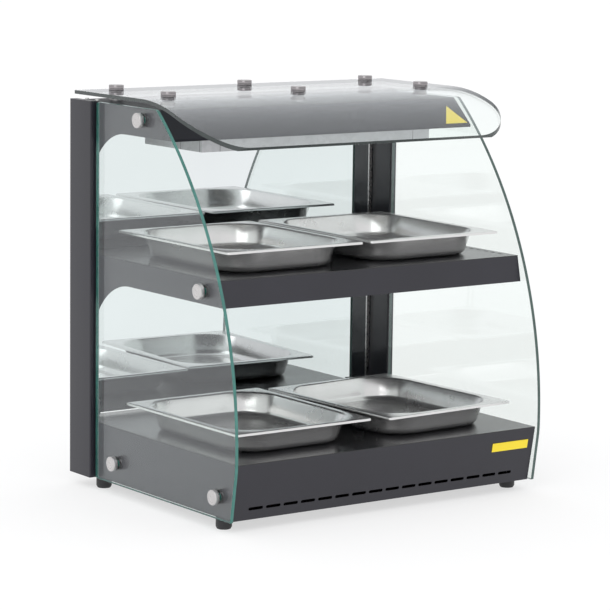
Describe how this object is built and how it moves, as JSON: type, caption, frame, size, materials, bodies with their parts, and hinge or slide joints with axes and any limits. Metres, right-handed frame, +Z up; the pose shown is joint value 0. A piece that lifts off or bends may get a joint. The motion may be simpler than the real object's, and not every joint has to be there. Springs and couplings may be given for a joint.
{
  "type": "heated display case",
  "caption": "Two-tier heated food display case with a black steel base, shelf and canopy, curved clear glass on standoffs, a mirrored rear door and shallow steel pans.",
  "frame": {"origin": "middle of the footprint, on the surface that the feet stand on", "axes": "+X to the right as a customer sees it, +Y to the rear where the staff stand, +Z up"},
  "size_m": [0.636, 0.51, 0.673],
  "materials": {
    "black_steel": "fine textured powder coat, satin",
    "deck_steel": "smooth powder coat, semi gloss",
    "galvanised_steel": "galvanised sheet, satin",
    "heater_tube": "heat stained tube",
    "bright_steel": "satin",
    "standoff_steel": "turned and satin ground",
    "reflector_metal": "polished",
    "lamp_glass": "clear quartz tube",
    "ceramic": "glazed ceramic",
    "clear_glass": "clear toughened float glass, polished edge",
    "gasket_rubber": "matt",
    "foot_rubber": "matt",
    "yellow_plate": "satin yellow",
    "thermostat_plastic": "moulded",
    "copper_tube": "drawn copper",
    "black_plastic": "moulded, fine texture",
    "red_plastic": "moulded",
    "amber_lens": "clear lens",
    "wire_cover": "silicone cover",
    "mirror_pane": "silvered glass, ground edge",
    "pan_steel": "pressed stainless steel, satin bright"
  },
  "bodies": {
    "case": {"base_shell": "black_steel", "base_deck": "deck_steel", "base_bottom_plate": "black_steel", "base_rear_panel": "black_steel", "deck_heater": "heater_tube", "element_clips": "bright_steel", "heat_shield": "galvanised_steel", "shelf_shell": "black_steel", "shelf_top": "deck_steel", "shelf_bottom_cover": "black_steel", "shelf_heater": "heater_tube", "left_post": "black_steel", "right_post": "black_steel", "frame_bolts": "bright_steel", "canopy_top": "black_steel", "canopy_left_plate": "black_steel", "canopy_right_plate": "black_steel", "canopy_floor": "galvanised_steel", "canopy_rear_panel": "black_steel", "panel_screws": "bright_steel", "lamp_housing": "galvanised_steel", "lamp_reflector": "reflector_metal", "heat_lamps": "lamp_glass", "lamp_holders": "ceramic", "lamp_guard": "bright_steel", "top_glass": "clear_glass", "top_glass_caps": "standoff_steel", "top_glass_spacers": "standoff_steel", "top_glass_gaskets": "gasket_rubber", "top_glass_studs": "bright_steel", "left_glass": "clear_glass", "right_glass": "clear_glass", "side_glass_caps": "standoff_steel", "side_glass_spacers": "standoff_steel", "side_glass_gaskets": "gasket_rubber", "side_glass_studs": "bright_steel", "feet": "foot_rubber", "foot_screws": "bright_steel", "front_plate": "yellow_plate", "plain_triangle": "yellow_plate", "thermostat_body": "thermostat_plastic", "thermostat_bulb": "copper_tube", "switch_housings": "black_plastic", "indicator_lamp": "amber_lens", "power_inlet": "black_plastic", "terminal_block": "ceramic", "wiring": "wire_cover", "door_bushes": "thermostat_plastic", "door_catch": "black_plastic"},
    "rear_door": {"door_mirror": "mirror_pane", "door_shoes": "bright_steel", "door_handle": "bright_steel", "door_edge_channel": "bright_steel"},
    "knob": {"thermostat_knob": "black_plastic"},
    "power_switch": {"power_rocker": "red_plastic"},
    "light_switch": {"light_rocker": "black_plastic"},
    "upper_left_pan_body": {"upper_left_pan": "pan_steel"},
    "upper_right_pan_body": {"upper_right_pan": "pan_steel"},
    "lower_left_pan_body": {"lower_left_pan": "pan_steel"},
    "lower_right_pan_body": {"lower_right_pan": "pan_steel"}
  },
  "joints": [
    {"name": "door_swing", "type": "hinge", "parent": "case", "child": "rear_door", "pos_m": [-0.288, 0.2185, 0.356], "axis": [0, 0, 1], "range_deg": [0, 110]},
    {"name": "knob_turn", "type": "hinge", "parent": "case", "child": "knob", "pos_m": [0.21, 0.24, 0.066], "axis": [0, 1, 0], "range_deg": [0, 270]},
    {"name": "power_rock", "type": "hinge", "parent": "case", "child": "power_switch", "pos_m": [0.13, 0.225, 0.066], "axis": [-1, 0, 0], "range_deg": [0, 16]},
    {"name": "light_rock", "type": "hinge", "parent": "case", "child": "light_switch", "pos_m": [0.095, 0.225, 0.066], "axis": [-1, 0, 0], "range_deg": [0, 16]},
    {"name": "upper_left_pan_slide", "type": "slide", "parent": "case", "child": "upper_left_pan_body", "axis": [0, -1, 0], "range_m": [0, 0.42]},
    {"name": "upper_right_pan_slide", "type": "slide", "parent": "case", "child": "upper_right_pan_body", "axis": [0, -1, 0], "range_m": [0, 0.42]},
    {"name": "lower_left_pan_slide", "type": "slide", "parent": "case", "child": "lower_left_pan_body", "axis": [0, -1, 0], "range_m": [0, 0.42]},
    {"name": "lower_right_pan_slide", "type": "slide", "parent": "case", "child": "lower_right_pan_body", "axis": [0, -1, 0], "range_m": [0, 0.42]}
  ]
}
